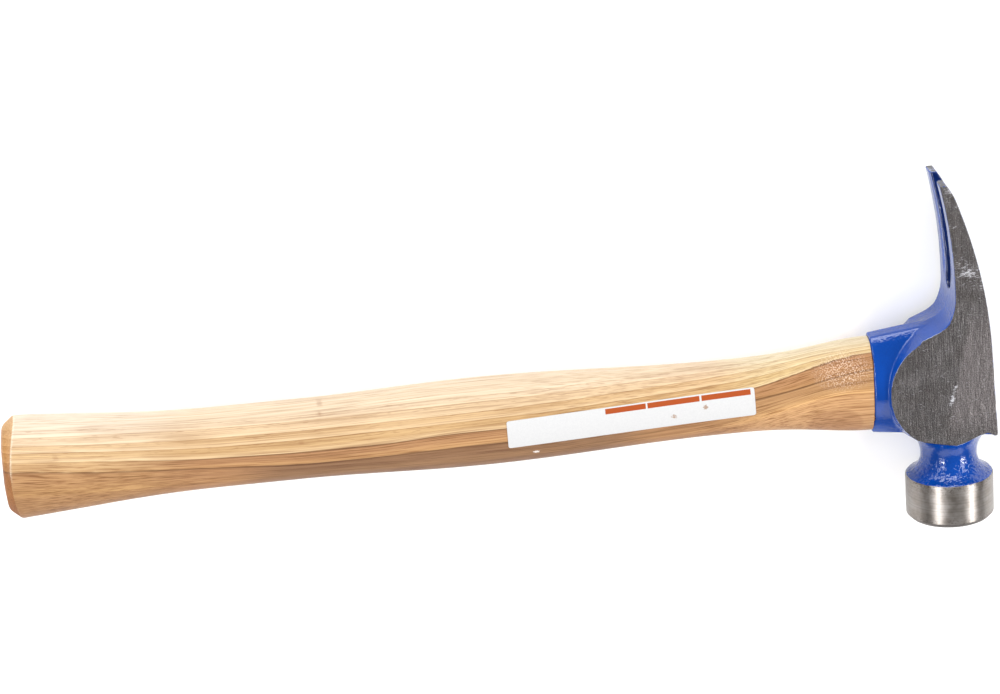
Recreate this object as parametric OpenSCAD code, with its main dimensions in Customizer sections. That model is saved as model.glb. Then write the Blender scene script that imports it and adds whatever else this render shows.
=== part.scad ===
// Framing hammer with a straight rip claw, an adze-eye head and a wedged hickory handle.
// The hammer lies on its side: +X runs along the handle from the butt to the top of the head,
// +Y points from the striking face to the claw, and +Z stands square to the upper cheek.

/* [Overall] */
// Length from the butt of the handle to the foremost point of the head
overall_l = 407; // [380:1:440]
// Distance from the handle's axis to the middle of the striking face
face_drop = 62.4; // [60:0.2:68]
// Distance from the handle's axis to the tips of the claw
claw_reach = 86.6; // [80:0.2:94]

/* [Striking face] */
// Diameter of the machined rim around the face
face_d = 36.5; // [32:0.5:41]
// Length of the machined rim
rim_l = 15.8; // [13:0.2:17]
// Width of the chamfer between the rim and the face
rim_chamfer = 1.8; // [0.8:0.1:2.6]
// Height of the face's crown
crown_h = 1; // [0.4:0.1:1.6]
// Diameter of the neck between the rim and the cheeks
poll_neck_d = 24.6; // [22:0.2:27]
// Length of the bell shoulder from the neck down to the rim
bell_l = 5.4; // [4.6:0.1:6.4]
// Distance from the handle's axis to the top of that neck
neck_drop = 32.4; // [31.6:0.2:34]
// Radius of the flare from the neck up to the cheeks
flare_r = 7.5; // [5:0.5:8]

/* [Cheeks] */
// Width across the two ground cheeks, which is also the width of the claw
cheek_w = 29; // [27:0.5:31]
// Distance from the poll's axis to the top of the head, along the handle's axis
head_top = 17.1; // [15:0.1:19]
// Slant of the flat top, which leans back towards the claw
top_slant = 2.6; // [0:0.1:4]
// Radius of the round ground pad on each cheek
pad_r = 24.7; // [23:0.1:26]
// Distance of the pad's centre from the poll's axis, towards the handle
pad_setback = 1.5; // [0.5:0.5:3]
// Distance of the pad's centre below the handle's axis
pad_drop = 2; // [0:0.5:3]
// How far the pad's forged wall spreads between the cheek and the middle of the head
pad_draft = 2.5; // [1:0.5:4]
// Distance from the handle's axis to the underside of the cheeks
underside_drop = 23.5; // [22:0.5:25]

/* [Claw] */
// Radius of the claw's back
claw_back_r = 226; // [205:1:250]
// Height above the handle's axis at which the flat top starts to curve into the claw's back
back_start = 10; // [6:0.5:14]
// Radius of the claw's inner side
claw_inner_r = 205; // [185:1:230]
// Thickness of the head from its top to the throat of the claw
throat_t = 15.6; // [14:0.1:17]
// Height of the throat above the handle's axis
throat_h = 40; // [39:0.5:44]
// Radius of the hollow between the claw and the socket
root_r = 20; // [17:0.5:23]
// Height of that hollow's centre above the handle's axis
root_h = 38; // [36:0.5:40]
// Thickness of the blunt claw tips
tip_t = 2; // [1.5:0.1:2.6]
// Length of the bevel on the back of the tips
tip_bevel = 2.5; // [1.5:0.1:4]

/* [Nail slot] */
// Depth of the slot from the tips to its round root
slot_l = 48.4; // [44:0.2:49]
// Width of the slot on the claw's inner side, near the tips
slot_mouth_w = 9.2; // [8.6:0.2:12]
// Width of the slot on the claw's inner side, at its root
slot_mouth_root_w = 8; // [6:0.2:8.6]
// Width of the slot on the claw's back, at the tips
slot_back_w = 7.6; // [6.6:0.2:8.4]
// Width of the slot on the claw's back, at its root
slot_back_root_w = 3; // [2:0.2:4]

/* [Socket and eye] */
// Distance from the poll's axis to the end of the socket
socket_end = 32.5; // [30:0.5:36]
// Height of the socket at its end
socket_h = 42; // [40:0.5:45]
// Height of the socket where it meets the cheeks
socket_root_h = 50; // [46:0.5:52]
// Thickness of the socket
socket_w = 25; // [24:0.5:27]
// Height of the eye at its waist
eye_h = 33; // [29:0.5:34]
// Width of the eye at its waist
eye_w = 18.5; // [15:0.5:19]
// How far each side of the eye flares out from the waist to the top of the head
eye_flare = 0.8; // [0.4:0.1:1.2]
// Distance of the eye's waist from the poll's axis, towards the handle
eye_waist = 5; // [2:0.5:8]

/* [Handle] */
// Height of the butt
butt_h = 44; // [40:0.5:48]
// Thickness of the butt
butt_w = 29; // [26:0.5:31]
// Depth of the chamfer around the butt
butt_chamfer = 4.4; // [2:0.2:6]
// Length of that chamfer along the handle
butt_chamfer_l = 5; // [3:0.5:8]
// Height of the butt's slight dome
butt_dome = 1.4; // [0.4:0.2:3]
// Length of the flare from the grip to the butt
butt_flare_l = 90; // [70:1:110]
// Height of the grip
grip_h = 33; // [30:0.5:36]
// Thickness of the grip
grip_w = 25; // [22:0.5:28]
// Distance from the butt to the front end of the grip
grip_end = 120; // [112:1:140]
// Height of the swell in front of the grip
swell_h = 36.6; // [34:0.2:40]
// Thickness of the swell
swell_w = 26; // [23:0.5:29]
// Distance from the butt to the swell
swell_at = 195; // [180:1:215]
// Height of the slim neck behind the head
neck_h = 31; // [28:0.5:34]
// Thickness of the neck
neck_w = 22; // [20:0.5:25]
// Distance from the neck to the end of the socket
neck_back = 62; // [50:1:75]
// Height of the shoulder that meets the socket
shoulder_h = 40; // [38:0.5:41.5]
// Thickness of the shoulder
shoulder_w = 23; // [21:0.5:24]

/* [Wedges] */
// Depth of the wooden wedge in the end of the handle
wedge_l = 32; // [26:0.5:38]
// Thickness of the wooden wedge at the top of the head
wedge_t = 4.2; // [3:0.1:5]
// Thickness of the wooden wedge at its toe
wedge_toe_t = 1.2; // [0.8:0.1:2]
// Width of each steel wedge
steel_w = 13; // [10:0.5:14]
// Thickness of each steel wedge at the top of the head
steel_t = 2.8; // [2:0.1:3.4]
// Thickness of each steel wedge at its toe
steel_toe_t = 0.8; // [0.5:0.1:1.2]
// Depth of each steel wedge
steel_l = 18; // [14:0.5:22]
// Distance between the middles of the two steel wedges
steel_gap = 16; // [13:0.5:18]

/* [Label] */
// Length of the blank paper label
label_l = 102.6; // [80:0.2:110]
// Height of the label
label_h = 12; // [9:0.2:15]
// Thickness of the label
label_t = 0.2; // [0.1:0.05:0.4]
// Distance from the handle's slim neck back to the middle of the label
label_back = 38.6; // [32:0.2:50]
// Distance of the label's middle below the handle's axis
label_drop = 0.7; // [0:0.1:2]
// Angle between the label and the handle's axis
label_tilt = 1.9; // [0:0.1:3]

/* [Hidden] */

// Gap between the handle's tongue and the eye, and between a wedge and its cut
fit_gap = 0.1;
// Gap between the handle's shoulder and the end of the socket
seat_gap = 0.1;
// Gap of glue between the label and the wood
glue_gap = 0.1;
// Metal left on the forging for the cheeks to be ground away
grind_stock = 1;
// Land between the top of the head and the poll's flare
corner_land = 0.4;
// How far every cut runs past the surface that it opens
overrun = 3;
// Spacing of the sections along the handle
section_pitch = 9;
// Teeth on each steel wedge, and the share of its thickness that each tooth stands out
steel_teeth = 4;
tooth_share = 0.16;
// Power of the rounded oval sections of the handle and of the eye
oval_power = 2.3;
// Power of the rise from the handle's neck to its shoulder
shoulder_power = 1.5;
// Share of the butt's flare over which it bends before it runs straight
flare_bend_share = 0.5;
// Share of the butt that is flat, in the middle of its dome
butt_flat_share = 0.4;
// Share by which the socket's oval is taller than the flat crest that cuts it
crest_share = 1.03;
// Sweep of the hollow between the claw and the socket
root_sweep = 65;
// First angle of the nail slot's round root
slot_root_start = 15;
// Points round an oval section, and along an arc
oval_points = 32;
arc_points = 14;
dome_points = 4;
$fn = 96;

// Half sizes
rim_r = face_d / 2;
neck_r = poll_neck_d / 2;
cheek_z = cheek_w / 2;
// Places along the handle, measured from the poll's axis
lean = tan(top_slant);
head_reach = max(rim_r, head_top + lean * underside_drop);
butt_x = head_reach - overall_l;
shoulder_x = -socket_end - seat_gap;
neck_x = shoulder_x - neck_back;
throat_x = head_top - throat_t;
// Place of the label's middle, measured from the butt
label_s = neck_x - label_back - butt_x;
// Places along the poll, measured from the handle's axis
face_edge_y = crown_h - face_drop;
rim_end_y = face_edge_y + rim_chamfer;
rim_start_y = rim_end_y + rim_l;
bell_start_y = rim_start_y + bell_l;
slot_root_y = claw_reach - slot_l;
flare_end_r = min(neck_r + flare_r, head_top - corner_land);

// Straight blend from a to b
function blend(a, b, t) = a + (b - a) * t;
// Slow start and slow end between 0 and 1
function ease(t, power = 1) = (1 - cos(180 * pow(t, power))) / 2;
// Power of a number that keeps its sign
function signed_pow(x, p) = sign(x) * pow(abs(x), p);
// Drop of a circle of radius r at a distance d from its crest
function sag(r, d) = r - sqrt(r * r - d * d);
// Even steps from a to b, as many as an arc has
function steps(a, b) = [for (i = [0:arc_points]) blend(a, b, i / arc_points)];
// Points of an arc about a centre, from one angle to another
function arc(centre, r, from, to) = [for (t = steps(from, to)) centre + r * [cos(t), sin(t)]];

// Moves the hammer from its working axes to the part's origin, under the middle of its box
module place() {
    translate([overall_l / 2 - head_reach, (face_drop - claw_reach) / 2, rim_r]) children();
}

// Closed skin over a row of like rings
module skin(rings) {
    n = len(rings[0]);
    last = len(rings) - 1;
    sides = [for (i = [0:last - 1], k = [0:n - 1]) each [
        [i * n + k, i * n + (k + 1) % n, (i + 1) * n + k],
        [i * n + (k + 1) % n, (i + 1) * n + (k + 1) % n, (i + 1) * n + k]]];
    caps = [[for (k = [n - 1:-1:0]) k], [for (k = [0:n - 1]) last * n + k]];
    polyhedron([for (ring = rings) each ring], concat(sides, caps));
}

// Rounded oval across the handle at x, with half height a and half width b
function oval(x, a, b) =
    [for (k = [0:oval_points - 1]) let (t = -360 * k / oval_points)
        [x, a * signed_pow(cos(t), 2 / oval_power), b * signed_pow(sin(t), 2 / oval_power)]];

// Oval with a flat crest at the top and at the bottom
function crested_oval(x, a, b) =
    [for (k = [0:oval_points - 1])
        let (t = -360 * (k + 0.5) / oval_points, y = crest_share * a * cos(t))
        [x, min(a, max(-a, y)), b * sin(t)]];

// Section of the eye at x, which is narrowest at its waist, less a gap and slanted like the top
function eye_grow(x) = eye_flare * pow((x + eye_waist) / (head_top + eye_waist), 2);
function eye_oval(x, gap, slant = 0) = let (grow = eye_grow(x) - gap)
    [for (p = oval(x, eye_h / 2 + grow, eye_w / 2 + grow)) [p.x - slant * p.y, p.y, p.z]];

// Share of the butt's flare at a share t of its length: a bend, then a straight run
function butt_flare(t) =
    (t < flare_bend_share ? t * t / (2 * flare_bend_share) : t - flare_bend_share / 2)
    / (1 - flare_bend_share / 2);
// One size of the handle at a distance s from the butt
function along_handle(s, butt, grip, swell, neck, shoulder) = let (neck_s = neck_x - butt_x)
    s < butt_flare_l ? blend(grip, butt, butt_flare(1 - s / butt_flare_l)) :
    s < grip_end ? grip :
    s < swell_at ? blend(grip, swell, ease((s - grip_end) / (swell_at - grip_end))) :
    s < neck_s ? blend(swell, neck, ease((s - swell_at) / (neck_s - swell_at))) :
    blend(neck, shoulder, ease(min(1, (s - neck_s) / neck_back), shoulder_power));
function handle_a(s) = along_handle(s, butt_h, grip_h, swell_h, neck_h, shoulder_h) / 2;
function handle_b(s) = along_handle(s, butt_w, grip_w, swell_w, neck_w, shoulder_w) / 2;
function handle_oval(s) = oval(butt_x + s, handle_a(s), handle_b(s));
// Section of the butt's dome at a share r of its size inside the chamfer
function dome_oval(r) = oval(butt_x + butt_dome * (r * r - pow(butt_flat_share, 2)),
    r * (handle_a(0) - butt_chamfer), r * (handle_b(0) - butt_chamfer));

// Sides of the claw at a height y above the handle's axis
function back_x(y) = head_top - lean * y - sag(claw_back_r, max(0, y - back_start));
function inner_x(y) = throat_x - sag(claw_inner_r, max(0, y - throat_h));

// Side outline of the claw and of the head's body
module claw_outline() {
    bevel_y = claw_reach - tip_bevel;
    back = [for (y = steps(back_start, bevel_y)) [back_x(y), y]];
    inner = [for (y = steps(claw_reach, throat_h)) [inner_x(y), y]];
    polygon(concat(
        [[back_x(-underside_drop), -underside_drop]],
        back,
        [[inner_x(claw_reach) + tip_t, claw_reach]],
        inner,
        arc([throat_x - root_r, root_h], root_r, 0, -root_sweep),
        [[-pad_setback, -underside_drop]]));
}

// Round pad of the cheeks as forged, drawn in from the middle of the head to each side
module pad() {
    pad_z = cheek_z + grind_stock;
    outer_r = pad_r - pad_draft * grind_stock / cheek_z;
    reach = pad_r + pad_draft;
    intersection() {
        translate([-pad_setback, -pad_drop, 0]) for (side = [0, 1]) mirror([0, 0, side])
            cylinder(h = pad_z, r1 = reach, r2 = outer_r);
        translate([-reach - pad_setback, -reach - pad_drop, -pad_z])
            cube([reach + pad_setback, 2 * reach, 2 * pad_z]);
    }
}

// Poll, neck, bell and face, turned about the poll's axis
module poll() {
    bell_step = rim_r - neck_r;
    bell_r = bell_step > bell_l ? bell_l / 2 : (pow(bell_step, 2) + pow(bell_l, 2)) / (4 * bell_step);
    bell_turn = asin(bell_l / 2 / bell_r);
    crown_edge_r = rim_r - rim_chamfer;
    crown_r = (pow(crown_edge_r, 2) + pow(crown_h, 2)) / (2 * crown_h);
    crown_turn = asin(crown_edge_r / crown_r);
    flare_turn = acos((neck_r + flare_r - flare_end_r) / flare_r);
    rotate([-90, 0, 0]) rotate_extrude() polygon(concat(
        [[0, -pad_drop]],
        [[flare_end_r, -pad_drop]],
        arc([neck_r + flare_r, -neck_drop], flare_r, 180 - flare_turn, 180),
        arc([neck_r + bell_r, bell_start_y], bell_r, 180, 180 + bell_turn),
        arc([rim_r - bell_r, rim_start_y], bell_r, bell_turn, 0),
        [[rim_r, rim_end_y]],
        arc([0, crown_r - face_drop], crown_r, -90 + crown_turn, -90)));
}

// Oval socket that reaches back from the cheeks along the handle
module socket() {
    skin([for (x = [-socket_end, -pad_setback]) let (t = (x + socket_end) / (socket_end - pad_setback))
        crested_oval(x, blend(socket_h, socket_root_h, t) / 2, socket_w / 2)]);
}

// Eye through the head for the handle's tongue
module eye() {
    from = -socket_end - overrun;
    to = head_top + overrun;
    skin([for (x = steps(from, to)) eye_oval(x, 0)]);
}

// Bevelled nail slot: wide on the claw's inner side, narrow on its back, round at its root
module nail_slot() {
    root_half = slot_mouth_root_w / 2;
    top_y = claw_reach + overrun;
    straight_y = slot_root_y + root_half;
    function ring(y, round_share) = let (t = max(0, (y - straight_y) / (claw_reach - straight_y)),
            mouth = blend(slot_mouth_root_w, slot_mouth_w, ease(min(1, t))) / 2 * round_share,
            back = blend(slot_back_root_w, slot_back_w, t) / 2 * round_share)
        [[back_x(y) + overrun, y, -back], [back_x(y) + overrun, y, back],
         [inner_x(y) - overrun, y, mouth], [inner_x(y) - overrun, y, -mouth]];
    round_end = [for (turn = steps(slot_root_start, 90))
        ring(straight_y - root_half * cos(turn), sin(turn))];
    run = [for (i = [1:arc_points]) ring(blend(straight_y, top_y, i / arc_points), 1)];
    skin(concat(round_end, run));
}

// Drop-forged steel head in one piece, with its cheeks and claw sides ground flat
module head() {
    color("royalblue") place() difference() {
        union() {
            linear_extrude(height = cheek_w + 2 * grind_stock, center = true) claw_outline();
            pad();
            poll();
            socket();
        }
        for (side = [0, 1]) mirror([0, 0, side]) translate([-overall_l / 2, -neck_drop, cheek_z])
            cube([overall_l, claw_reach + neck_drop + overrun, rim_r]);
        eye();
        nail_slot();
    }
}

// Wooden wedge as a flat taper along the eye, larger all round by a gap and run past the top
module wedge_taper(gap) {
    toe_x = head_top - wedge_l;
    end_half = wedge_t / 2 + (wedge_t - wedge_toe_t) / 2 * overrun / wedge_l;
    rotate([90, 0, 0]) linear_extrude(height = eye_h + overrun * 2, center = true) polygon([
        [toe_x - gap, -wedge_toe_t / 2 - gap],
        [head_top + overrun, -end_half - gap],
        [head_top + overrun, end_half + gap],
        [toe_x - gap, wedge_toe_t / 2 + gap]]);
}

// Toothed steel wedge, driven across the wooden one, larger all round by a gap
module steel_taper(gap) {
    toe_x = head_top - steel_l;
    function half_t(i) = blend(steel_toe_t, steel_t, i / steel_teeth) / 2 + gap;
    pitch = steel_l / steel_teeth;
    edge = [for (i = [0:steel_teeth - 1]) each let (
            start = i == 0 ? -gap : 0,
            tooth = i < steel_teeth - 1 ? steel_t * tooth_share : 0)
        [[toe_x + i * pitch + start, half_t(i)], [toe_x + (i + 1) * pitch, half_t(i + 1) + tooth]]];
    head_end = gap > 0 ? [[head_top + overrun, half_t(steel_teeth)]] : [];
    far = concat(edge, head_end);
    near = [for (i = [len(far) - 1:-1:0]) [far[i].x, -far[i].y]];
    linear_extrude(height = steel_w + 2 * gap, center = true) polygon(concat(far, near));
}

// Places of the two steel wedges along the eye, level with the slanted top
module steel_place(side) {
    y = side * steel_gap / 2;
    translate([-lean * y, y, 0]) rotate([0, 0, -top_slant]) children();
}

// Sections of the tongue, from the shoulder to the slanted top of the head
function tongue_rings() = [for (t = steps(0, 1))
    eye_oval(blend(shoulder_x, head_top, t), fit_gap, lean * t)];

// Hickory handle with a shoulder at the socket and a sawn tongue through the eye
module handle() {
    shoulder_s = shoulder_x - butt_x;
    edge_s = butt_dome + butt_chamfer_l;
    count = ceil((shoulder_s - edge_s) / section_pitch);
    dome = [for (i = [0:dome_points]) dome_oval(blend(butt_flat_share, 1, i / dome_points))];
    body = [for (i = [0:count]) handle_oval(blend(edge_s, shoulder_s, i / count))];
    color("burlywood") place() difference() {
        skin(concat(dome, body, tongue_rings()));
        wedge_taper(fit_gap);
        for (side = [-1, 1]) steel_place(side) steel_taper(fit_gap);
    }
}

// Hardwood wedge that fills the tongue's saw cut and is trimmed to the eye
module wooden_wedge() {
    color("peru") place() difference() {
        intersection() {
            wedge_taper(0);
            skin(tongue_rings());
        }
        for (side = [-1, 1]) steel_place(side) steel_taper(fit_gap);
    }
}

// Toothed steel wedge on the claw's side of the eye
module steel_wedge_claw_side() {
    color("silver") place() steel_place(1) steel_taper(0);
}

// Toothed steel wedge on the striking face's side of the eye
module steel_wedge_face_side() {
    color("silver") place() steel_place(-1) steel_taper(0);
}

// Blank paper label, bent round the upper side of the handle
module label() {
    columns = arc_points * 2;
    rows = arc_points / 2;
    function spot(i, j) = let (p = (i / columns - 0.5) * label_l, q = (j / rows - 0.5) * label_h)
        [label_s + p * cos(label_tilt) - q * sin(label_tilt),
         p * sin(label_tilt) + q * cos(label_tilt) - label_drop];
    function side_z(s, y) =
        handle_b(s) * pow(1 - pow(abs(y) / handle_a(s), oval_power), 1 / oval_power);
    function lift(i, j, up) = let (p = spot(i, j))
        [butt_x + p.x, p.y, side_z(p.x, p.y) + glue_gap + up];
    function ring(i) = concat(
        [for (j = [0:rows]) lift(i, j, label_t)],
        [for (j = [rows:-1:0]) lift(i, j, 0)]);
    color("white") place() skin([for (i = [0:columns]) ring(i)]);
}

head();
handle();
wooden_wedge();
steel_wedge_claw_side();
steel_wedge_face_side();
label();
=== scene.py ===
import bpy
import numpy as np
from mathutils import Matrix


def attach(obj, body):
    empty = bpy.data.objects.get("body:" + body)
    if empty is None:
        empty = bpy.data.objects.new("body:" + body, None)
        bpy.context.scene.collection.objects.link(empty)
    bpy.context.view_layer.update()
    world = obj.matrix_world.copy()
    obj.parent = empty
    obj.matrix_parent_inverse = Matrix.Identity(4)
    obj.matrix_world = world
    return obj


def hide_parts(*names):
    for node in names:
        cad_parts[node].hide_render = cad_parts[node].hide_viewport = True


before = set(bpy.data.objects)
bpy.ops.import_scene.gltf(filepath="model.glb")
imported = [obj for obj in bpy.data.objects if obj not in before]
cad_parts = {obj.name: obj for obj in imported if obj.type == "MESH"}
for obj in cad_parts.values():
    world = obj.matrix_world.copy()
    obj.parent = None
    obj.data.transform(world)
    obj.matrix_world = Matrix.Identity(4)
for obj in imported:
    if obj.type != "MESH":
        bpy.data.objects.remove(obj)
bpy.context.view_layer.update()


# Handle: one length of straight-grained hickory, turned oval on a copying lathe and sanded smooth.
# Its front end is a tongue that fills the eye of the head, behind a shoulder that stops at the socket.
# Thin satin lacquer covers the sides; the end grain of the butt drank it and went darker.
HEAD_AT = np.array([185.25, -12.1, 18.25])  # mm in the frame, where poll axis and handle axis cross
BUTT_X, SHOULDER_X, HEAD_TOP = -388.75, -32.6, 17.1  # mm along the handle from that point
BODY_L = SHOULDER_X - BUTT_X
TOP_LEAN = np.tan(np.radians(2.6))
FLARE_END, GRIP_END, SWELL_AT, NECK_AT = 90, 120, 195, 294.15  # mm from the butt
SHOULDER_L, SHOULDER_BEND = 62, 1.5  # mm from neck to shoulder, and the power that delays the rise
HEIGHTS = (44, 33, 36.6, 31, 40)  # mm at the butt, grip, swell, neck and shoulder
WIDTHS = (29, 25, 26, 22, 23)
OVAL_POWER = 2.3
EYE_H, EYE_W, EYE_FLARE, EYE_WAIST = 33.0, 18.5, 0.8, 5.0


def ease(t, power=1.0):
    """Half a cosine wave from 0 to 1 over t from 0 to 1, with t raised to a power first."""
    return (1 - np.cos(np.pi * np.clip(t, 0, 1) ** power)) / 2


def along_handle(s, butt, grip, swell, neck, shoulder):
    """One size of the handle s mm from the butt: a bend and a straight flare out to the butt, a level
    grip, and half cosine waves up to the swell, down to the neck and up to the shoulder."""
    t = np.clip(1 - s / FLARE_END, 0, 1)
    flare = np.where(t < 0.5, t * t, t - 0.25) / 0.75
    return np.select(
        [s < FLARE_END, s < GRIP_END, s < SWELL_AT, s < NECK_AT],
        [grip + (butt - grip) * flare,
         grip + 0 * s,
         grip + (swell - grip) * ease((s - GRIP_END) / (SWELL_AT - GRIP_END)),
         swell + (neck - swell) * ease((s - SWELL_AT) / (NECK_AT - SWELL_AT))],
        neck + (shoulder - neck) * ease((s - NECK_AT) / SHOULDER_L, SHOULDER_BEND))


def half_height(s):
    """Half height of the handle s mm from the butt."""
    return along_handle(s, *HEIGHTS) / 2


def half_width(s):
    """Half thickness of the handle s mm from the butt."""
    return along_handle(s, *WIDTHS) / 2


def oval(turn, a, b, power=OVAL_POWER):
    """Rounded oval with half sizes a and b: sine and cosine of the turn, each raised to 2 over the power."""
    c, s = np.cos(turn), np.sin(turn)
    return a * np.sign(c) * np.abs(c) ** (2 / power), b * np.sign(s) * np.abs(s) ** (2 / power)


def eye_grow(x):
    """How far the eye has flared out beyond its waist, as the square of the distance from the waist."""
    return EYE_FLARE * ((x + EYE_WAIST) / (HEAD_TOP + EYE_WAIST)) ** 2


def soften(path, corner, reach):
    """A path with one corner cut off by a parabola that starts and ends at a distance reach from it."""
    before = path[corner] + (path[corner - 1] - path[corner]) * reach / np.linalg.norm(
        path[corner - 1] - path[corner])
    after = path[corner] + (path[corner + 1] - path[corner]) * reach / np.linalg.norm(
        path[corner + 1] - path[corner])
    t = np.linspace(0, 1, 6)[:, None]
    bend = (1 - t) ** 2 * before + 2 * t * (1 - t) * path[corner] + t**2 * after
    return np.concatenate([path[:corner], bend, path[corner + 1:]])


def ring_faces(rows, columns):
    """Quads between neighbouring rows of points, each row closed in a ring."""
    i, k = np.meshgrid(np.arange(rows - 1), np.arange(columns), indexing="ij")
    near, far = i * columns + k, i * columns + (k + 1) % columns
    return np.stack([near, far, far + columns, near + columns], -1).reshape(-1, 4)


def make_piece(name, points, quads, caps=(), values=None, normals=None, sharp=None):
    """One mesh object at the frame's origin from points in mm about the head, with a value per point for
    each named attribute. Faces are turned round where the closed skin's volume comes out negative."""
    p = points[quads]
    volume = np.einsum("ij,ij->", p[:, 0], np.cross(p[:, 1], p[:, 2])) + np.einsum(
        "ij,ij->", p[:, 0], np.cross(p[:, 2], p[:, 3]))
    turn = -1 if volume < 0 else 1
    faces = [q[::turn] for q in quads.tolist()] + [list(c)[::turn] for c in caps]
    mesh = bpy.data.meshes.new(name)
    mesh.from_pydata(((points + HEAD_AT) / 1000).tolist(), [], faces)
    mesh.shade_smooth()
    if sharp is not None:
        mesh.set_sharp_from_angle(angle=np.radians(sharp))
    for attribute, value in (values or {}).items():
        vector = value.ndim == 2
        made = mesh.attributes.new(attribute, "FLOAT_VECTOR" if vector else "FLOAT", "POINT")
        made.data.foreach_set("vector" if vector else "value", value.astype(np.float32).ravel())
    if normals is not None:
        mesh.normals_split_custom_set_from_vertices(normals.tolist())
    piece = bpy.data.objects.new(name, mesh)
    bpy.context.scene.collection.objects.link(piece)
    return piece


# The path runs over the domed butt, its chamfer, the body and the tongue: distance, half height, half width
DOME_H, FLAT_SHARE = 1.4, 0.4  # mm, and the share of the butt that stays flat
CHAMFER, CHAMFER_L, SIDE_CHAMFER_L, CHAMFER_FADE = 4.4, 6.4, 3.0, 10  # mm; it is short on the flat sides
EDGE_ROUND, BUTT_ROUND = 0.9, 2.4  # mm cut back on each side of the chamfer's two edges
TONGUE_BELOW, FIT_GAP = 0.2, 0.1  # mm below the top of the head, and all round in the eye
dome = np.append(np.linspace(FLAT_SHARE, 0.84, 7), 1)
butt_path = np.stack([DOME_H * (dome**2 - FLAT_SHARE**2),
                      dome * (half_height(0.0) - CHAMFER),
                      dome * (half_width(0.0) - CHAMFER)], -1)
body_s = np.concatenate([[CHAMFER_L, 8.0], np.arange(9.0, BODY_L, 1.0), [BODY_L]])
body_path = np.stack([body_s, half_height(body_s), half_width(body_s)], -1)
path = np.concatenate([butt_path, body_path])
path = soften(path, len(butt_path), EDGE_ROUND)
path = soften(path, len(butt_path) - 1, BUTT_ROUND)
edge_row = len(butt_path) + 7  # middle of the rounded edge between chamfer and body
rim_rows = len(path)
tongue_x = np.linspace(SHOULDER_X, HEAD_TOP - TONGUE_BELOW, 40)
tongue_grow = eye_grow(tongue_x) - FIT_GAP
tongue = np.stack([tongue_x - BUTT_X, EYE_H / 2 + tongue_grow, EYE_W / 2 + tongue_grow], -1)
path = np.concatenate([path, tongue])
TURNS = 144
turn = np.arange(TURNS) * 2 * np.pi / TURNS
path_s, path_h, path_w = path.T[:, :, None]
y, z = oval(turn, path_h, path_w)
past_edge = path_s - CHAMFER_L
pull = np.where(past_edge < 0, path_s / CHAMFER_L, 1 - ease(past_edge / CHAMFER_FADE))
pull = (CHAMFER_L - SIDE_CHAMFER_L) * pull * (1 - (y / path_h) ** 2)
slant = np.concatenate([np.zeros(rim_rows), np.linspace(0, TOP_LEAN, len(tongue))])[:, None]
handle_points = np.stack([BUTT_X + path_s - pull - slant * y, y, z], -1).reshape(-1, 3)

# Growth lines of the blank, from the lowest up, as mm above the handle's middle at stations from the butt
line_s = [0, 40, 80, 120, 155, 180, 230, 285, 306, 325, 340, 356, 410]
line_v = np.array([
    [-24] * len(line_s),
    [-7.4, -10, -11.2, -12, -12.8, -13, -13, -11, -8, -3, 0.3, -0.5, 0],
    [4, -0.5, -3.75, -6.7, -6.6, -5.75, -5, -1, 1.7, 4.5, 8.2, 10, 12],
    [7.2, 3.5, 0, -1.1, -1.1, 0.7, 1.2, 4, 6.3, 10.8, 14.7, 16.4, 18],
    [11.1, 7.8, 4.8, 4.2, 4.7, 5.2, 6.2, 8.7, 10.3, 13.2, 16, 17.4, 19],
    [13.9, 10.5, 8.3, 7.8, 8.1, 8.5, 9.5, 11.6, 12.9, 15.1, 17.2, 18.4, 20],
    [16.6, 14, 11.8, 11.4, 11.8, 12.3, 12.8, 13.7, 14.3, 16, 18.2, 19.2, 21],
    [19, 15.9, 13.6, 13.1, 13.6, 14.1, 14.4, 14.7, 15, 16.9, 19.2, 20.2, 22],
    [27] * len(line_s)])
YEARS = len(line_v) - 1
LAYER_LEAN, LINE_REACH = 0.22, 8  # mm of height per mm of depth, and mm along the handle


def growth(s, v, w):
    """How many growth lines lie below a point, with shares of a year between two lines. Each line is the mean
    of itself over its reach to both sides, and every layer leans over through the handle's thickness."""
    on_body = np.clip(s, 0, BODY_L)
    across = np.clip(1 - (np.abs(v) / half_height(on_body)) ** OVAL_POWER, 0, 1)
    front = half_width(on_body) * across ** (1 / OVAL_POWER)
    shifts = np.linspace(-LINE_REACH, LINE_REACH, 5)
    level = np.mean([[np.interp(s + d, line_s, line) for line in line_v] for d in shifts], 0)
    above = v + LAYER_LEAN * (front - w) - level[:-1]
    return np.clip(above / (level[1:] - level[:-1]), 0, 1).sum(0)


hx, hy, hz = handle_points.T
hs = hx - BUTT_X
years = growth(hs, hy, hz)
# Pin knots: mm from the butt, mm above the middle and size of each
pin_knots = np.array([[129.0, 13.2, 0.5], [129.5, 16.0, 0.5], [120.5, 3.0, 0.6], [21.5, 7.2, 0.6]])
knot_s, knot_v, knot_size = pin_knots.T[:, :, None]
knot = np.exp(-((hs - knot_s) ** 2 / 2.6 + (hy - knot_v) ** 2 / 1.6) / knot_size**2).sum(0) * (hz > 0)
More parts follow.
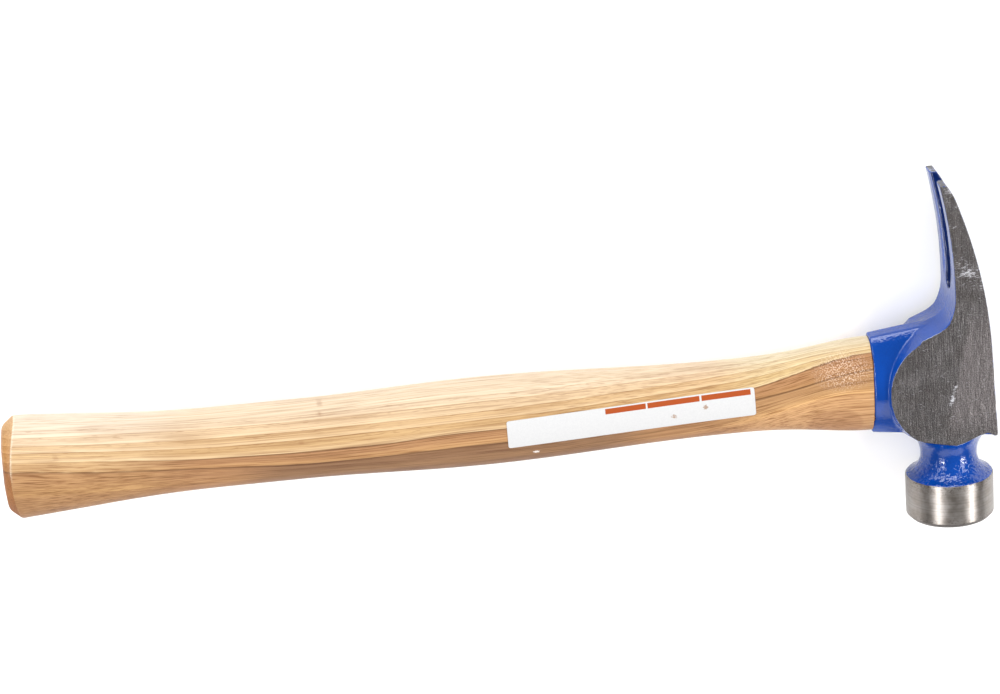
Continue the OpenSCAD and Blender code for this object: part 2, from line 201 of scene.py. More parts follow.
# Zones where the wood is lighter or darker than its years give: first and last station, first and last
# year, and the gain in red, green and blue
zones = ((-30, 65, 3.0, 9.0, (0.05, 0.1, 0.2)), (-30, 65, -1.0, 2.0, (0.05, 0.1, 0.05)),
         (90, 240, 2.0, 2.5, (0.15, 0.2, 0.2)), (100, 255, -1.0, 2.0, (-0.35, -0.35, -0.3)),
         (300, 440, -1.0, 2.0, (0.15, 0.25, 0.25)), (300, 440, -1.0, 1.2, (0.3, 0.35, 0.4)),
         (300, 440, 3.0, 9.0, (0.0, 0.1, 0.1)))
ZONE_BLEND, YEAR_BLEND = 30, 0.2  # mm and years over which a zone fades in and out
tone = np.ones((len(hs), 3))
for from_s, to_s, from_year, to_year, gain in zones:
    lengthwise = ease((hs - from_s) / ZONE_BLEND + 0.5) * ease((to_s - hs) / ZONE_BLEND + 0.5)
    yearwise = ease((years - from_year) / YEAR_BLEND + 0.5) * ease((to_year - years) / YEAR_BLEND + 0.5)
    tone += (lengthwise * yearwise)[:, None] * gain
# Fibres follow the growth lines, so their pattern is laid out on the lines' mean heights
lie = np.stack([hs, np.interp(years, np.arange(YEARS + 1), line_v.mean(1)), hz], -1) / 1000
# Lifted fibres and a dark lobe beside the socket: middle from the butt and above the axis, and half sizes
FUZZ_AT, FUZZ_SIZE = (344, 9.5), (14, 9)
LOBE_AT, LOBE_SIZE = (340, -14), (12, 8.2)
EDGE_HIGHLIGHT_W = 0.4  # mm of painted highlight along the chamfer's upper edge
row_at = np.repeat(np.arange(len(path)), TURNS)
edge_gap = np.abs(path[row_at, 0] - path[edge_row, 0])
handle = make_piece(
    "handle_hickory", handle_points, ring_faces(len(path), TURNS),
    [range(TURNS)[::-1], range((len(path) - 1) * TURNS, len(path) * TURNS)],
    {"years": years,
     "knot": knot,
     "pale": ease((85 - hs) / 50) * ease((years - 1.95) / 0.1) * ease((3.2 - years) / 0.15),
     "tone": tone,
     "lie": lie,
     "fuzz": 1 - np.hypot((hs - FUZZ_AT[0]) / FUZZ_SIZE[0], (hy - FUZZ_AT[1]) / FUZZ_SIZE[1]),
     "lobe": 1 - np.hypot((hs - LOBE_AT[0]) / LOBE_SIZE[0], (hy - LOBE_AT[1]) / LOBE_SIZE[1]),
     "cut": ((row_at < edge_row) | (row_at > rim_rows)).astype(float),
     "edge_highlight": np.exp(-((edge_gap / EDGE_HIGHLIGHT_W) ** 2)) * (row_at < rim_rows) * ease((hy + 2) / 6)},
    sharp=40)


def linear(colour):
    """An sRGB hex colour as linear red, green, blue and full alpha."""
    c = np.array([int(colour[i:i + 2], 16) for i in (1, 3, 5)]) / 255
    return (*np.where(c <= 0.04045, c / 12.92, ((c + 0.055) / 1.055) ** 2.4), 1.0)


def node(tree, kind, inputs, stops=(), **settings):
    """Adds one shader node with its settings, its colour stops in hex or linear, and its input values and
    links; returns its outputs."""
    made = tree.nodes.new("ShaderNode" + kind)
    for name, value in settings.items():
        setattr(made, name, value)
    for i, (at, colour) in enumerate(stops):
        stop = made.color_ramp.elements[i] if i < 2 else made.color_ramp.elements.new(at)
        stop.position, stop.color = at, linear(colour) if isinstance(colour, str) else colour
    for key, value in inputs.items():
        if isinstance(value, bpy.types.NodeSocket):
            tree.links.new(value, made.inputs[key])
        else:
            made.inputs[key].default_value = value
    return made.outputs


def new_material(name):
    """An empty node material, and its tree."""
    material = bpy.data.materials.new(name)
    material.use_nodes = True
    material.node_tree.nodes.clear()
    return material, material.node_tree


# Lacquered hickory: cream sapwood over brown heartwood. Each year's growth starts pale and ends in a dark
# line with rows of pores, and thin satin lacquer leaves the grain visible right to the edge.
hickory, t = new_material("lacquered_hickory")
spot = node(t, "TexCoord", {})["Object"]
along = node(t, "Attribute", {}, attribute_name="lie")["Vector"]
mark = {name: node(t, "Attribute", {}, attribute_name=name)["Fac"]
        for name in ("years", "pale", "lobe", "knot", "fuzz", "cut", "edge_highlight")}
# Grain patterns, in repeats per metre along and across the fibres. Layers wander over 60 mm by 10 mm, fibres
# are 80 mm by 0.5 mm and finer ones 30 mm by 0.3 mm, bands of tone 50 mm by 6 mm and flames 40 mm by 1.2 mm.
# Pores are 0.1 mm wide; they are drawn at 0.3 mm by 5 mm so that they show.
grain = {}
for name, lengthwise, crosswise, detail, rough in (
        ("wander", 16, 100, 2.0, 0.5), ("fibre", 12, 2000, 3.0, 0.6), ("fine", 33, 3600, 2.0, 0.5),
        ("pore", 200, 3300, 1.0, 0.5), ("broad", 20, 170, 3.0, 0.5), ("flame", 25, 830, 3.0, 0.5)):
    spread = node(t, "VectorMath", {0: along, 1: (lengthwise, crosswise, crosswise)}, operation="MULTIPLY")[0]
    grain[name] = node(t, "TexNoise", {
        "Vector": spread, "Scale": 1.0, "Detail": detail, "Roughness": rough})["Fac"]
# Each line wanders by up to 0.16 of a year and frays by 0.08 along single fibres
years_at = node(t, "Math", {0: grain["wander"], 1: 0.16, 2: mark["years"]}, operation="MULTIPLY_ADD")[0]
years_at = node(t, "Math", {0: grain["fibre"], 1: 0.08, 2: years_at}, operation="MULTIPLY_ADD")[0]
years_at = node(t, "Math", {0: years_at, 1: -0.12}, operation="ADD")[0]
# Early wood, late wood and the line that ends a year: in heartwood, in young sapwood and near the bark
HEART = ("#B1885D", "#A9805A", "#6F4C31")
SAP = ("#D2B791", "#BE9E72", "#A4835A")
BARK_SAP = ("#CBB9A0", "#CABAA5", "#C3B197")
HEART_YEARS, BARK_FROM = 3, 3.5
# The lowest layer darkens towards the handle's underside: brown heartwood, and painted shade where the
# underside turns from the light
stops = [(0.0, linear("#8D6648")), (0.95, linear(HEART[1]))]
for year in range(1, YEARS):
    bark = max(year - BARK_FROM, 0) / (YEARS - 1 - BARK_FROM)
    inner = HEART if year < HEART_YEARS else SAP
    early, late, line = [np.array(linear(a)) * (1 - bark) + np.array(linear(b)) * bark
                         for a, b in zip(inner, BARK_SAP)]
    stops += [(year + 0.03, early), (year + 0.5, late), (year + 0.87, late), (year + 0.97, line)]
wood = node(t, "ValToRGB", {"Fac": node(t, "Math", {0: years_at, 1: YEARS}, operation="DIVIDE")[0]},
            [(at / YEARS, colour) for at, colour in stops])[0]
wood = node(t, "Mix", {0: 1.0, 6: wood, 7: node(t, "Attribute", {}, attribute_name="tone")["Color"]},
            data_type="RGBA", blend_type="MULTIPLY")[2]
pale = node(t, "Math", {0: mark["pale"], 1: 0.75}, operation="MULTIPLY")[0]
wood = node(t, "Mix", {0: pale, 6: wood, 7: linear("#C9AB80")}, data_type="RGBA")[2]
lobe = node(t, "Math", {0: grain["fibre"], 1: 0.12, 2: mark["lobe"]}, operation="MULTIPLY_ADD")[0]
lobe = node(t, "MapRange", {0: lobe, 1: 0.04, 2: 0.16, 3: 0.0, 4: 0.5})[0]
wood = node(t, "Mix", {0: lobe, 6: wood, 7: linear("#9C714E")}, data_type="RGBA")[2]
# Streaks darken the wood most in heartwood: pattern, strength there and strength in sapwood
for pattern, in_heart, in_sap in (
        ("broad", 0.35, 0.2), ("flame", 0.4, 0.2), ("fibre", 0.7, 0.5), ("fine", 1.0, 0.6)):
    strength = node(t, "MapRange", {0: years_at, 1: 2.6, 2: 3.6, 3: in_heart, 4: in_sap})[0]
    streak = node(t, "ValToRGB", {"Fac": grain[pattern]}, [
        (0.3, "#BAA48E"), (0.5, "#F9F7F4"), (0.7, "#FFFFFF")])[0]
    wood = node(t, "Mix", {0: strength, 6: wood, 7: streak}, data_type="RGBA", blend_type="MULTIPLY")[2]
part_year = node(t, "Math", {0: years_at}, operation="FRACT")[0]
late = node(t, "MapRange", {0: part_year, 1: 0.15, 2: 0.9})[0]
pore_depth = node(t, "MapRange", {0: grain["pore"], 1: 0.58, 2: 0.7, 3: 0.0, 4: 0.5},
                  interpolation_type="SMOOTHSTEP")[0]
pore_depth = node(t, "Math", {0: pore_depth, 1: late}, operation="MULTIPLY")[0]
wood = node(t, "Mix", {0: pore_depth, 6: wood, 7: linear("#7A5433")}, data_type="RGBA")[2]
dark_knot = node(t, "Math", {0: mark["knot"], 1: 0.5}, operation="MULTIPLY", use_clamp=True)[0]
wood = node(t, "Mix", {0: dark_knot, 6: wood, 7: linear("#7A4E30")}, data_type="RGBA")[2]
# Next to the socket the sander lifted short fibres, which catch the light in specks of 0.5 mm
fuzz = node(t, "MapRange", {0: mark["fuzz"], 1: 0.0, 2: 0.6})[0]
lint = node(t, "TexNoise", {"Vector": spot, "Scale": 2000.0, "Detail": 0.0})["Fac"]
for low, high, colour in ((0.53, 0.66, "#D2BBA8"), (0.47, 0.36, "#80583F")):
    speck = node(t, "MapRange", {0: lint, 1: low, 2: high, 3: 0.0, 4: 0.6})[0]
    speck = node(t, "Math", {0: speck, 1: fuzz}, operation="MULTIPLY")[0]
    wood = node(t, "Mix", {0: speck, 6: wood, 7: linear(colour)}, data_type="RGBA")[2]
# One ragged fleck of white paint, 3 mm by 1 mm, stuck below the label
FLECK_AT = HEAD_AT + (BUTT_X + 216, -11.7, 10.4)
fleck = node(t, "VectorMath", {0: spot, 1: tuple(FLECK_AT / 1000)}, operation="SUBTRACT")[0]
fleck = node(t, "VectorMath", {0: fleck, 1: (700, 1700, 700)}, operation="MULTIPLY")[0]
fleck = node(t, "VectorMath", {0: fleck}, operation="LENGTH")["Value"]
fleck = node(t, "Math", {0: lint, 1: 0.8, 2: fleck}, operation="MULTIPLY_ADD")[0]
fleck = node(t, "MapRange", {0: fleck, 1: 1.35, 2: 1.2})[0]
wood = node(t, "Mix", {0: fleck, 6: wood, 7: linear("#D2CDC8")}, data_type="RGBA")[2]
# End grain is darker and duller, and a pale painted highlight runs along the chamfer's upper edge
wood = node(t, "Mix", {0: mark["cut"], 6: wood, 7: linear("#E8C79A")}, data_type="RGBA",
            blend_type="MULTIPLY")[2]
edge_highlight = node(t, "MapRange", {0: grain["fine"], 1: 0.4, 2: 0.6, 3: 0.2, 4: 0.7})[0]
edge_highlight = node(t, "Math", {0: mark["edge_highlight"], 1: edge_highlight}, operation="MULTIPLY")[0]
wood = node(t, "Mix", {0: edge_highlight, 6: wood, 7: linear("#DDD2BE")}, data_type="RGBA")[2]
sheen = node(t, "MapRange", {0: mark["cut"], 1: 0.0, 2: 1.0, 3: 0.5, 4: 0.65})[0]
ridges = node(t, "Math", {0: grain["fibre"], 1: pore_depth}, operation="SUBTRACT")[0]
relief = node(t, "Bump", {"Strength": 0.2, "Distance": 0.0001, "Height": ridges})[0]
node(t, "OutputMaterial", {"Surface": node(t, "BsdfPrincipled", {
    "Base Color": wood, "Roughness": sheen, "IOR": 1.5, "Specular IOR Level": 0.3, "Normal": relief})[0]})
handle.data.materials.append(hickory)
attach(handle, "root")
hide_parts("handle")


# Head: one drop forging in carbon steel, dipped in blue enamel, with a straight rip claw, a round poll and
# a socket round the eye. After painting, a belt grinder took both cheeks and claw sides to bare metal.
# It is shaped here as a field of space, because forged forms run into each other in soft hollows.
CHEEK = 14.5  # mm from the middle to each ground side
# Sizes in mm, with places from the crossing of the axes: u along the handle, v up the claw
BACK_R, BACK_FROM, BACK_SWELL = 226, 10, 0.5  # the claw's back, where it starts to curve, and its swell
INNER_R, INNER_U, INNER_FROM = 205, 1.5, 40  # the claw's inner side, and where it starts to curve
ROOT_R, ROOT_U, ROOT_V = 20, -18.5, 38  # the hollow at the claw's root
DISH, DISH_HALF_W = 0.5, 9.5  # the shallow hollow along the slot
WALL_AT, WALL_NORMAL = (-10.05, 19.87), (-0.981, -0.193)
UNDER_V, EAR_H, EAR_U = -21.6, 1.9, 13  # the underside, and the ear at its corner
TIP_V, TIP_BEVEL_U, TIP_BEVEL_NORMAL = 86.6, -0.72, (0.838, 0.545)
PAD_R, PAD_U, PAD_V, PAD_DRAFT = 24.7, -1.5, -2, 2.5
SOCKET_END, SOCKET_TOP, SOCKET_SIDE = -32.5, 21, 12.5
SOCKET_GROW, SOCKET_RUN = 4, 31  # gain in height from the socket's mouth to the cheeks
BARREL_BEND, BARREL_V = 0.0132, -4  # half of 1 over the barrel's radius of 38, and its highest line
BEVEL_OUT, FACET_OUT, FACET_NORMAL = 17.32, 15.15, (-0.608, 0.794)  # the two flats along the barrel
POLL_FLARE_R, WAIST_R, WAIST_V = 14, 11.7, -34.05
HOLLOW_R, BELL_R, BELL_V, RIM_R = 8.7, 1.6, -43.65, 18.24
SLOT_V, SLOT_L, SLOT_ROOT_R = 42.2, 44.4, 4
PAD_FILLET, SOCKET_FILLET, POLL_FILLET = 5, 0.5, 1.5
GROUND_EDGE_R, HOLE_EDGE_R = 0.35, 0.5
SOFT_EDGE_R, SOFT_AT, SOFT_SPREAD = 0.8, (-4.8, 25.4), 6  # the ground edge is rounder at the claw's root
PAINT_END, PAINT_STEP, FORGED_END = -42.8, 0.5, -50  # the forging ends inside the turned face
SKIN_IN = 0.05  # taken off all round


def fuse(a, b, r):
    """Two solids joined, with a hollow fillet of radius r where their surfaces meet."""
    return np.maximum(r, np.minimum(a, b)) - np.hypot(np.maximum(r - a, 0), np.maximum(r - b, 0))


def trim(a, b, r):
    """What two solids share, with the edge where their surfaces meet rounded to radius r."""
    return np.minimum(-r, np.maximum(a, b)) + np.hypot(np.maximum(r + a, 0), np.maximum(r + b, 0))


def claw_sides(u, v):
    """Distances outside the claw's back, a leaning flat that turns into a circle and swells a little, and
    outside its inner side, a circle that ends below in the round hollow of the root."""
    drop, rise = np.maximum(v - BACK_FROM, 0), np.maximum(v - INNER_FROM, 0)
    back_root, inner_root = np.sqrt(BACK_R**2 - drop**2), np.sqrt(INNER_R**2 - rise**2)
    swell = BACK_SWELL * ease((v + 10) / 60)
    back = u - HEAD_TOP - swell + TOP_LEAN * v + BACK_R - back_root
    back = back / np.sqrt(1 + (TOP_LEAN + drop / back_root) ** 2)
    inner = (INNER_U - INNER_R + inner_root - u) / np.sqrt(1 + (rise / inner_root) ** 2)
    return back, np.where(v > ROOT_V, inner, ROOT_R - np.hypot(u - ROOT_U, v - ROOT_V))


def claw_field(u, v, w):
    """Claw and body: the space between its two sides and in front of a wall that leans by 11 degrees, above
    the underside with a small ear at the corner, dished along the slot, cut at the tips and by a bevel behind
    them."""
    back, inner = claw_sides(u, v)
    inner = inner + DISH * ease((DISH_HALF_W - w) / 4) * ease((v - ROOT_V) / 10)
    wall = WALL_NORMAL[0] * (u - WALL_AT[0]) + WALL_NORMAL[1] * (v - WALL_AT[1])
    under = UNDER_V - EAR_H * ease((u - EAR_U) / 4) - v
    bevel = TIP_BEVEL_NORMAL[0] * (u - TIP_BEVEL_U) + TIP_BEVEL_NORMAL[1] * (v - TIP_V)
    body = trim(trim(back, np.maximum(inner, wall), 0.6), trim(v - TIP_V, bevel, 0.3), 0.5)
    return trim(body, under, 0.8)


def pad_field(u, v, w):
    """Round pad of the cheeks: a cone that spreads by its draft from the cheek to the middle of the head,
    level below."""
    cone = np.maximum(np.hypot(u - PAD_U, v - PAD_V) - PAD_R - PAD_DRAFT * (1 - w / CHEEK), u)
    return trim(cone, -PAD_R - v, 3)


def socket_field(u, v, w):
    """Socket: a barrel side, cut by a flat crest, an upper bevel and a lower facet, and stretched in height
    towards the cheeks."""
    high = v * SOCKET_TOP / (SOCKET_TOP + SOCKET_GROW * (u - SOCKET_END) / SOCKET_RUN)
    up = high - BARREL_V
    side = (w - SOCKET_SIDE + BARREL_BEND * up**2) / np.sqrt(1 + (2 * BARREL_BEND * up) ** 2)
    bevel = (high + w) * 0.7071 - BEVEL_OUT
    facet = FACET_NORMAL[0] * high + FACET_NORMAL[1] * w - FACET_OUT
    section = trim(trim(trim(side, bevel, 0.4), facet, 5), np.abs(high) - SOCKET_TOP, 0.6)
    return trim(section, SOCKET_END - u, 0.9)


def poll_field(u, v, w):
    """Poll: a round waist, flared up to the cheeks by one circle and down to the bell by a smaller one, which
    runs over into the bell's rounded shoulder and its upright rim."""
    r, up = np.hypot(u, w), v - WAIST_V
    flare = POLL_FLARE_R - np.hypot(r - WAIST_R - POLL_FLARE_R, up)
    flare = np.maximum(np.maximum(flare, v + 2), r - 20)
    hollow = HOLLOW_R - np.hypot(r - WAIST_R - HOLLOW_R, up)
    out, over = r - RIM_R + BELL_R, v - BELL_V
    shoulder = np.hypot(out, over) - BELL_R
    past = (WAIST_R + HOLLOW_R - RIM_R + BELL_R) * over < (WAIST_V - BELL_V) * out
    return np.select([up > 0, ~past, v > BELL_V], [flare, hollow, shoulder], r - RIM_R)


def eye_field(u, v, w):
    """Eye: the oval of the tongue, which flares out on both sides of its waist. The oval's size at a point,
    less 1, is divided by its slope to give a distance."""
    grow = eye_grow(u)
    a, b = EYE_H / 2 + grow, EYE_W / 2 + grow
    p = OVAL_POWER
    top, side = (np.abs(v) / a) ** p, (w / b) ** p
    size = (top + side + 1e-9) ** (1 / p)
    slope = np.hypot((np.abs(v) / a) ** (p - 1) / a, (w / b) ** (p - 1) / b) * size ** (1 - p)
    return (size - 1) / np.maximum(slope, 1e-3)


def slot_field(u, v, w):
    """Nail slot: walls that close from the inner side to the back, and a round root."""
    back, inner = claw_sides(u, np.maximum(v, ROOT_V))
    through = np.clip((3 - inner) / (6 - inner - back), 0, 1)
    t = np.clip((v - SLOT_V) / SLOT_L, 0, 1.1)
    mouth, rear = 4.8 + 1.2 * ease(t), 1.8 + 3.2 * t
    half = mouth + (rear - mouth) * through
    return (np.hypot(w / half, np.maximum(SLOT_V - v, 0) / SLOT_ROOT_R) - 1) * half


def second_belt(u, v):
    """How deep the belt's second pass ground the cheek: it grows by 0.02 per mm past a leaning line."""
    return 0.02 * np.maximum(u - 1.1 - 0.23 * v, 0)


def head_field(u, v, w):
    """Whole head: claw, pad, socket and poll joined in fillets, ground flat on both sides with a rounder edge
    at the claw's root, then opened by the eye and the nail slot. It steps in below the paint line."""
    w = np.abs(w)
    solid = fuse(claw_field(u, v, w), pad_field(u, v, w), PAD_FILLET)
    solid = fuse(solid, socket_field(u, v, w), SOCKET_FILLET)
    solid = fuse(solid, poll_field(u, v, w), POLL_FILLET)
    solid = np.maximum(np.maximum(solid, claw_sides(u, v)[0]), u - RIM_R + SKIN_IN)
    soft = np.exp(-((u - SOFT_AT[0]) ** 2 + (v - SOFT_AT[1]) ** 2) / (2 * SOFT_SPREAD**2))
    belt = w - CHEEK + second_belt(u, v) * ease((ROOT_V - v) / 14)
    solid = np.where(v > WAIST_V, trim(solid, belt, GROUND_EDGE_R + SOFT_EDGE_R * soft), solid)
    solid = trim(solid, -eye_field(u, v, w), HOLE_EDGE_R)
    slotted = trim(solid, -slot_field(u, v, w), HOLE_EDGE_R)
    solid = np.where(v > SLOT_V - 2 * SLOT_ROOT_R, slotted, solid)
    return np.maximum(solid + SKIN_IN + PAINT_STEP * ease(PAINT_END - v), FORGED_END - v)


def level_skin(field, low, high, step):
    """Closed skin where a field of space is zero: every cell that it crosses gets a point at the mean of its
    edge crossings, four cells round a crossed edge share a face, and each point then slides down the
    field's slope on to the skin. Returns points, faces and outward normals."""
    axes = [np.arange(lo, hi, step) for lo, hi in zip(low, high)]
    value = field(*np.meshgrid(*axes, indexing="ij"))
    inside = value < 0
    size = np.array(value.shape) - 1
    corners = [(i, j, k) for i in (0, 1) for j in (0, 1) for k in (0, 1)]
    count = sum(inside[i:i + size[0], j:j + size[1], k:k + size[2]].astype(np.int8) for i, j, k in corners)
    cells = np.argwhere((count > 0) & (count < 8))
    total, hits = np.zeros(cells.shape), np.zeros(len(cells))
    for axis, along in enumerate(np.eye(3, dtype=int)):
        for start in [c for c in corners if c[axis] == 0]:
            a, b = value[tuple((cells + start).T)], value[tuple((cells + start + along).T)]
            crossed = (a < 0) != (b < 0)
            share = a / np.where(crossed, a - b, 1)
            total += crossed[:, None] * (np.array(start) + share[:, None] * along)
            hits += crossed
    points = np.array(low) + step * (cells + total / hits[:, None])
    number = np.full(size, -1)
    number[tuple(cells.T)] = np.arange(len(cells))
    quads = []
    for axis in range(3):
        rest = [k for k in range(3) if k != axis]
        turned = np.moveaxis(inside, axis, 0)
        spots = np.argwhere((turned[:-1] != turned[1:])[:, 1:-1, 1:-1]) + (0, 1, 1)
        outward = turned[tuple(spots.T)] != (axis == 1)
        ring = []
        for back_j, back_k in ((1, 1), (0, 1), (0, 0), (1, 0)):
            cell = np.empty_like(spots)
            cell[:, axis] = spots[:, 0]
            cell[:, rest] = spots[:, 1:] - (back_j, back_k)
            ring.append(number[tuple(cell.T)])
        ring = np.stack(ring, -1)
        quads.append(np.where(outward[:, None], ring, ring[:, ::-1]))

    def slope(reach):
        """Rise of the field along each axis, from two points at a distance reach to both sides."""
        rise = [field(*(points + reach * e).T) - field(*(points - reach * e).T) for e in np.eye(3)]
        return np.stack(rise, -1) / (2 * reach)

    for _ in range(5):
        g = slope(0.03)
        move = field(*points.T)[:, None] * g / np.maximum((g * g).sum(-1, keepdims=True), 0.2)
        points = points - np.clip(move, -0.3, 0.3)
    normals = slope(0.12)
    return points, np.concatenate(quads), normals / np.linalg.norm(normals, axis=-1, keepdims=True)


CELL = 0.58  # mm
SPACE_U, SPACE_V, SPACE_HALF_W = (-33.4, 19.2), (-51, 87.6), 19  # mm, a little more than the head fills
half_cells = int(SPACE_HALF_W / CELL) + 0.5  # the middle of a cell lies on the middle of the head
head_points, head_quads, head_normals = level_skin(
    head_field,
    (SPACE_U[0], SPACE_V[0], -half_cells * CELL),
    (SPACE_U[1], SPACE_V[1], (half_cells + 0.9) * CELL), CELL)
pu, pv, pw = head_points.T
bare = np.maximum(np.abs(pw) - CHEEK + 0.3 + second_belt(pu, pv), 2 * (pv - TIP_V + 0.1))
# Scuffs on the ground sides: middle, half sizes along the head and up the claw, lean and strength of each
scuffs = np.array([
    [6.5, 49.5, 5.2, 5.5, -0.55, 0.75], [6.6, 48.5, 3.6, 0.8, 0, 0.6], [-0.6, 84.6, 1.7, 2.4, 0, 1.1],
    [2.1, 69.1, 1.6, 0.9, 0.3, 0.7], [12.8, 43.0, 1.4, 2.5, 0, 0.6], [-0.7, -5.6, 1.1, 3.0, 0.28, 1.3],
    [0.5, -0.6, 0.6, 2.4, 0.28, 1.1], [-1.2, -13.6, 1.2, 1.0, 0, 0.8], [13.9, -15.1, 1.6, 2.2, 0, 0.6]])
across_u, up_v, half_u, half_v, lean, force = scuffs.T[:, :, None]
tall = half_v > half_u
scuff_u = (pu - across_u - np.where(tall, lean, 0) * (pv - up_v)) / half_u
scuff_v = (pv - up_v - np.where(tall, 0, lean) * (pu - across_u)) / half_v
scuff = (force * np.exp(-scuff_u**2 - scuff_v**2)).sum(0)
# The mark deep covers the nail slot's walls, where the enamel is given painted shade
head = make_piece("head_forging", head_points, head_quads, values={
    "bare": np.where(pv > WAIST_V, bare, -5.0),
    "deep": (np.abs(slot_field(pu, pv, np.abs(pw))) < 0.4) * (pv > 37.5) * 1.0,
    "second_pass": ease((pu - 1.2 - 0.2 * pv) / 3 + 0.5) * ease((pv + 26) / 14) * ease((40 - pv) / 26),
    "lumpy": ease((-30 - pv) / 7) + 0.35 * ease((16 - np.hypot(pu + 22, pv - 12)) / 8),
    "scuff": scuff * (np.abs(pw) > CHEEK - 0.8)}, normals=head_normals)

# Blue enamel over forged scale, and bare steel off a belt grinder: the paint is glossy with a faint orange
# peel, the steel is grey and dull with fine upright scratches, lighter where a second pass overlapped.
enamel, t = new_material("blue_enamel_on_ground_steel")
spot = node(t, "TexCoord", {})["Object"]
mark = {name: node(t, "Attribute", {}, attribute_name=name)["Fac"]
        for name in ("bare", "second_pass", "scuff", "deep", "lumpy")}
# The paint line is ragged by about 0.2 mm, in bites of 1 to 2 mm
bite = node(t, "TexNoise", {"Vector": spot, "Scale": 700.0, "Detail": 3.0, "Roughness": 0.65})["Fac"]
edge = node(t, "Math", {0: bite, 1: 0.7, 2: mark["bare"]}, operation="MULTIPLY_ADD")[0]
steel = node(t, "MapRange", {0: edge, 1: 0.33, 2: 0.42})[0]
# Belt scratches are 0.05 mm wide; they are drawn at 0.2 mm by 6 mm, and the marks of single grains of grit
# at 0.5 mm, so that they show
upright = node(t, "VectorMath", {0: spot, 1: (4800, 160, 900)}, operation="MULTIPLY")[0]
scratch = node(t, "TexNoise", {"Vector": upright, "Scale": 1.0, "Detail": 2.0, "Roughness": 0.6})["Fac"]
grit = node(t, "TexNoise", {"Vector": spot, "Scale": 1900.0, "Detail": 2.0, "Roughness": 0.6})["Fac"]
marks = node(t, "Math", {0: scratch, 1: grit}, operation="ADD")[0]
mean_mark = node(t, "Math", {0: marks, 1: 0.5}, operation="MULTIPLY")[0]
grey = node(t, "ValToRGB", {"Fac": mean_mark}, [(0.3, "#353334"), (0.5, "#545151"), (0.7, "#7F7C7B")])[0]
# Stains of 9 mm darken the first pass of the belt
blotch = node(t, "TexNoise", {"Vector": spot, "Scale": 110.0, "Detail": 3.0})["Fac"]
stain = node(t, "ValToRGB", {"Fac": blotch}, [(0.3, "#CDC7C3"), (0.6, "#FFFFFF")])[0]
grey = node(t, "Mix", {0: 0.6, 6: grey, 7: stain}, data_type="RGBA", blend_type="MULTIPLY")[2]
light_grey = node(t, "ValToRGB", {"Fac": mean_mark}, [
    (0.3, "#413F3F"), (0.5, "#625D5D"), (0.7, "#8D8887")])[0]
grey = node(t, "Mix", {0: mark["second_pass"], 6: grey, 7: light_grey}, data_type="RGBA")[2]
# Scuffs are broken into pale dashes, 1.4 mm by 0.5 mm
dash = node(t, "VectorMath", {0: spot, 1: (700, 1900, 900)}, operation="MULTIPLY")[0]
dash = node(t, "TexNoise", {"Vector": dash, "Scale": 1.0, "Detail": 3.0, "Roughness": 0.7})["Fac"]
scuffed = node(t, "Math", {0: mark["scuff"], 1: 0.2, 2: dash}, operation="MULTIPLY_ADD")[0]
scuffed = node(t, "MapRange", {0: scuffed, 1: 0.63, 2: 0.88, 3: 0.0, 4: 0.8})[0]
grey = node(t, "Mix", {0: scuffed, 6: grey, 7: linear("#DCDCE2")}, data_type="RGBA")[2]
# The enamel's blue shifts a little over 17 mm; inside the nail slot it is painted darker, as painted shade in
# the narrow recess
tint = node(t, "TexNoise", {"Vector": spot, "Scale": 60.0, "Detail": 2.0})["Fac"]
blue = node(t, "ValToRGB", {"Fac": tint}, [(0.3, "#02347F"), (0.7, "#033C90")])[0]
blue = node(t, "Mix", {0: mark["deep"], 6: blue, 7: linear("#061A4A")}, data_type="RGBA")[2]
# A broken pale line along the paint line is a painted highlight: the glints of the paint's rounded edge
paint_line_glint = node(t, "MapRange", {0: edge, 1: 0.24, 2: 0.34})[0]
broken = node(t, "MapRange", {0: tint, 1: 0.46, 2: 0.56})[0]
paint_line_glint = node(t, "Math", {0: paint_line_glint, 1: broken}, operation="MULTIPLY")[0]
blue = node(t, "Mix", {0: paint_line_glint, 6: blue, 7: linear("#A9B7D6")}, data_type="RGBA")[2]
# Orange peel is 1.4 mm across with finer dimples; thick paint at the poll and the socket has drops of 1.5 mm
peel = node(t, "TexNoise", {"Vector": spot, "Scale": 720.0, "Detail": 3.0, "Roughness": 0.6})["Fac"]
lumps = node(t, "TexNoise", {"Vector": spot, "Scale": 680.0, "Detail": 1.0})["Fac"]
lumps = node(t, "Math", {0: lumps, 1: mark["lumpy"]}, operation="MULTIPLY")[0]
peel = node(t, "Math", {0: lumps, 1: 4.0, 2: peel}, operation="MULTIPLY_ADD")[0]
height = node(t, "Mix", {0: steel, 2: peel, 3: marks}, data_type="FLOAT")[0]
relief = node(t, "Bump", {"Strength": 0.7, "Distance": 0.00016, "Height": height})[0]
dull = node(t, "MapRange", {0: grit, 1: 0.3, 2: 0.7, 3: 0.38, 4: 0.5})[0]
node(t, "OutputMaterial", {"Surface": node(t, "BsdfPrincipled", {
    "Base Color": node(t, "Mix", {0: steel, 6: blue, 7: grey}, data_type="RGBA")[2],
    "Metallic": steel,
    "Roughness": node(t, "Mix", {0: steel, 2: 0.1, 3: dull}, data_type="FLOAT")[0],
    "Normal": relief})[0]})
head.data.materials.append(enamel)
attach(head, "root")
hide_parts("head")


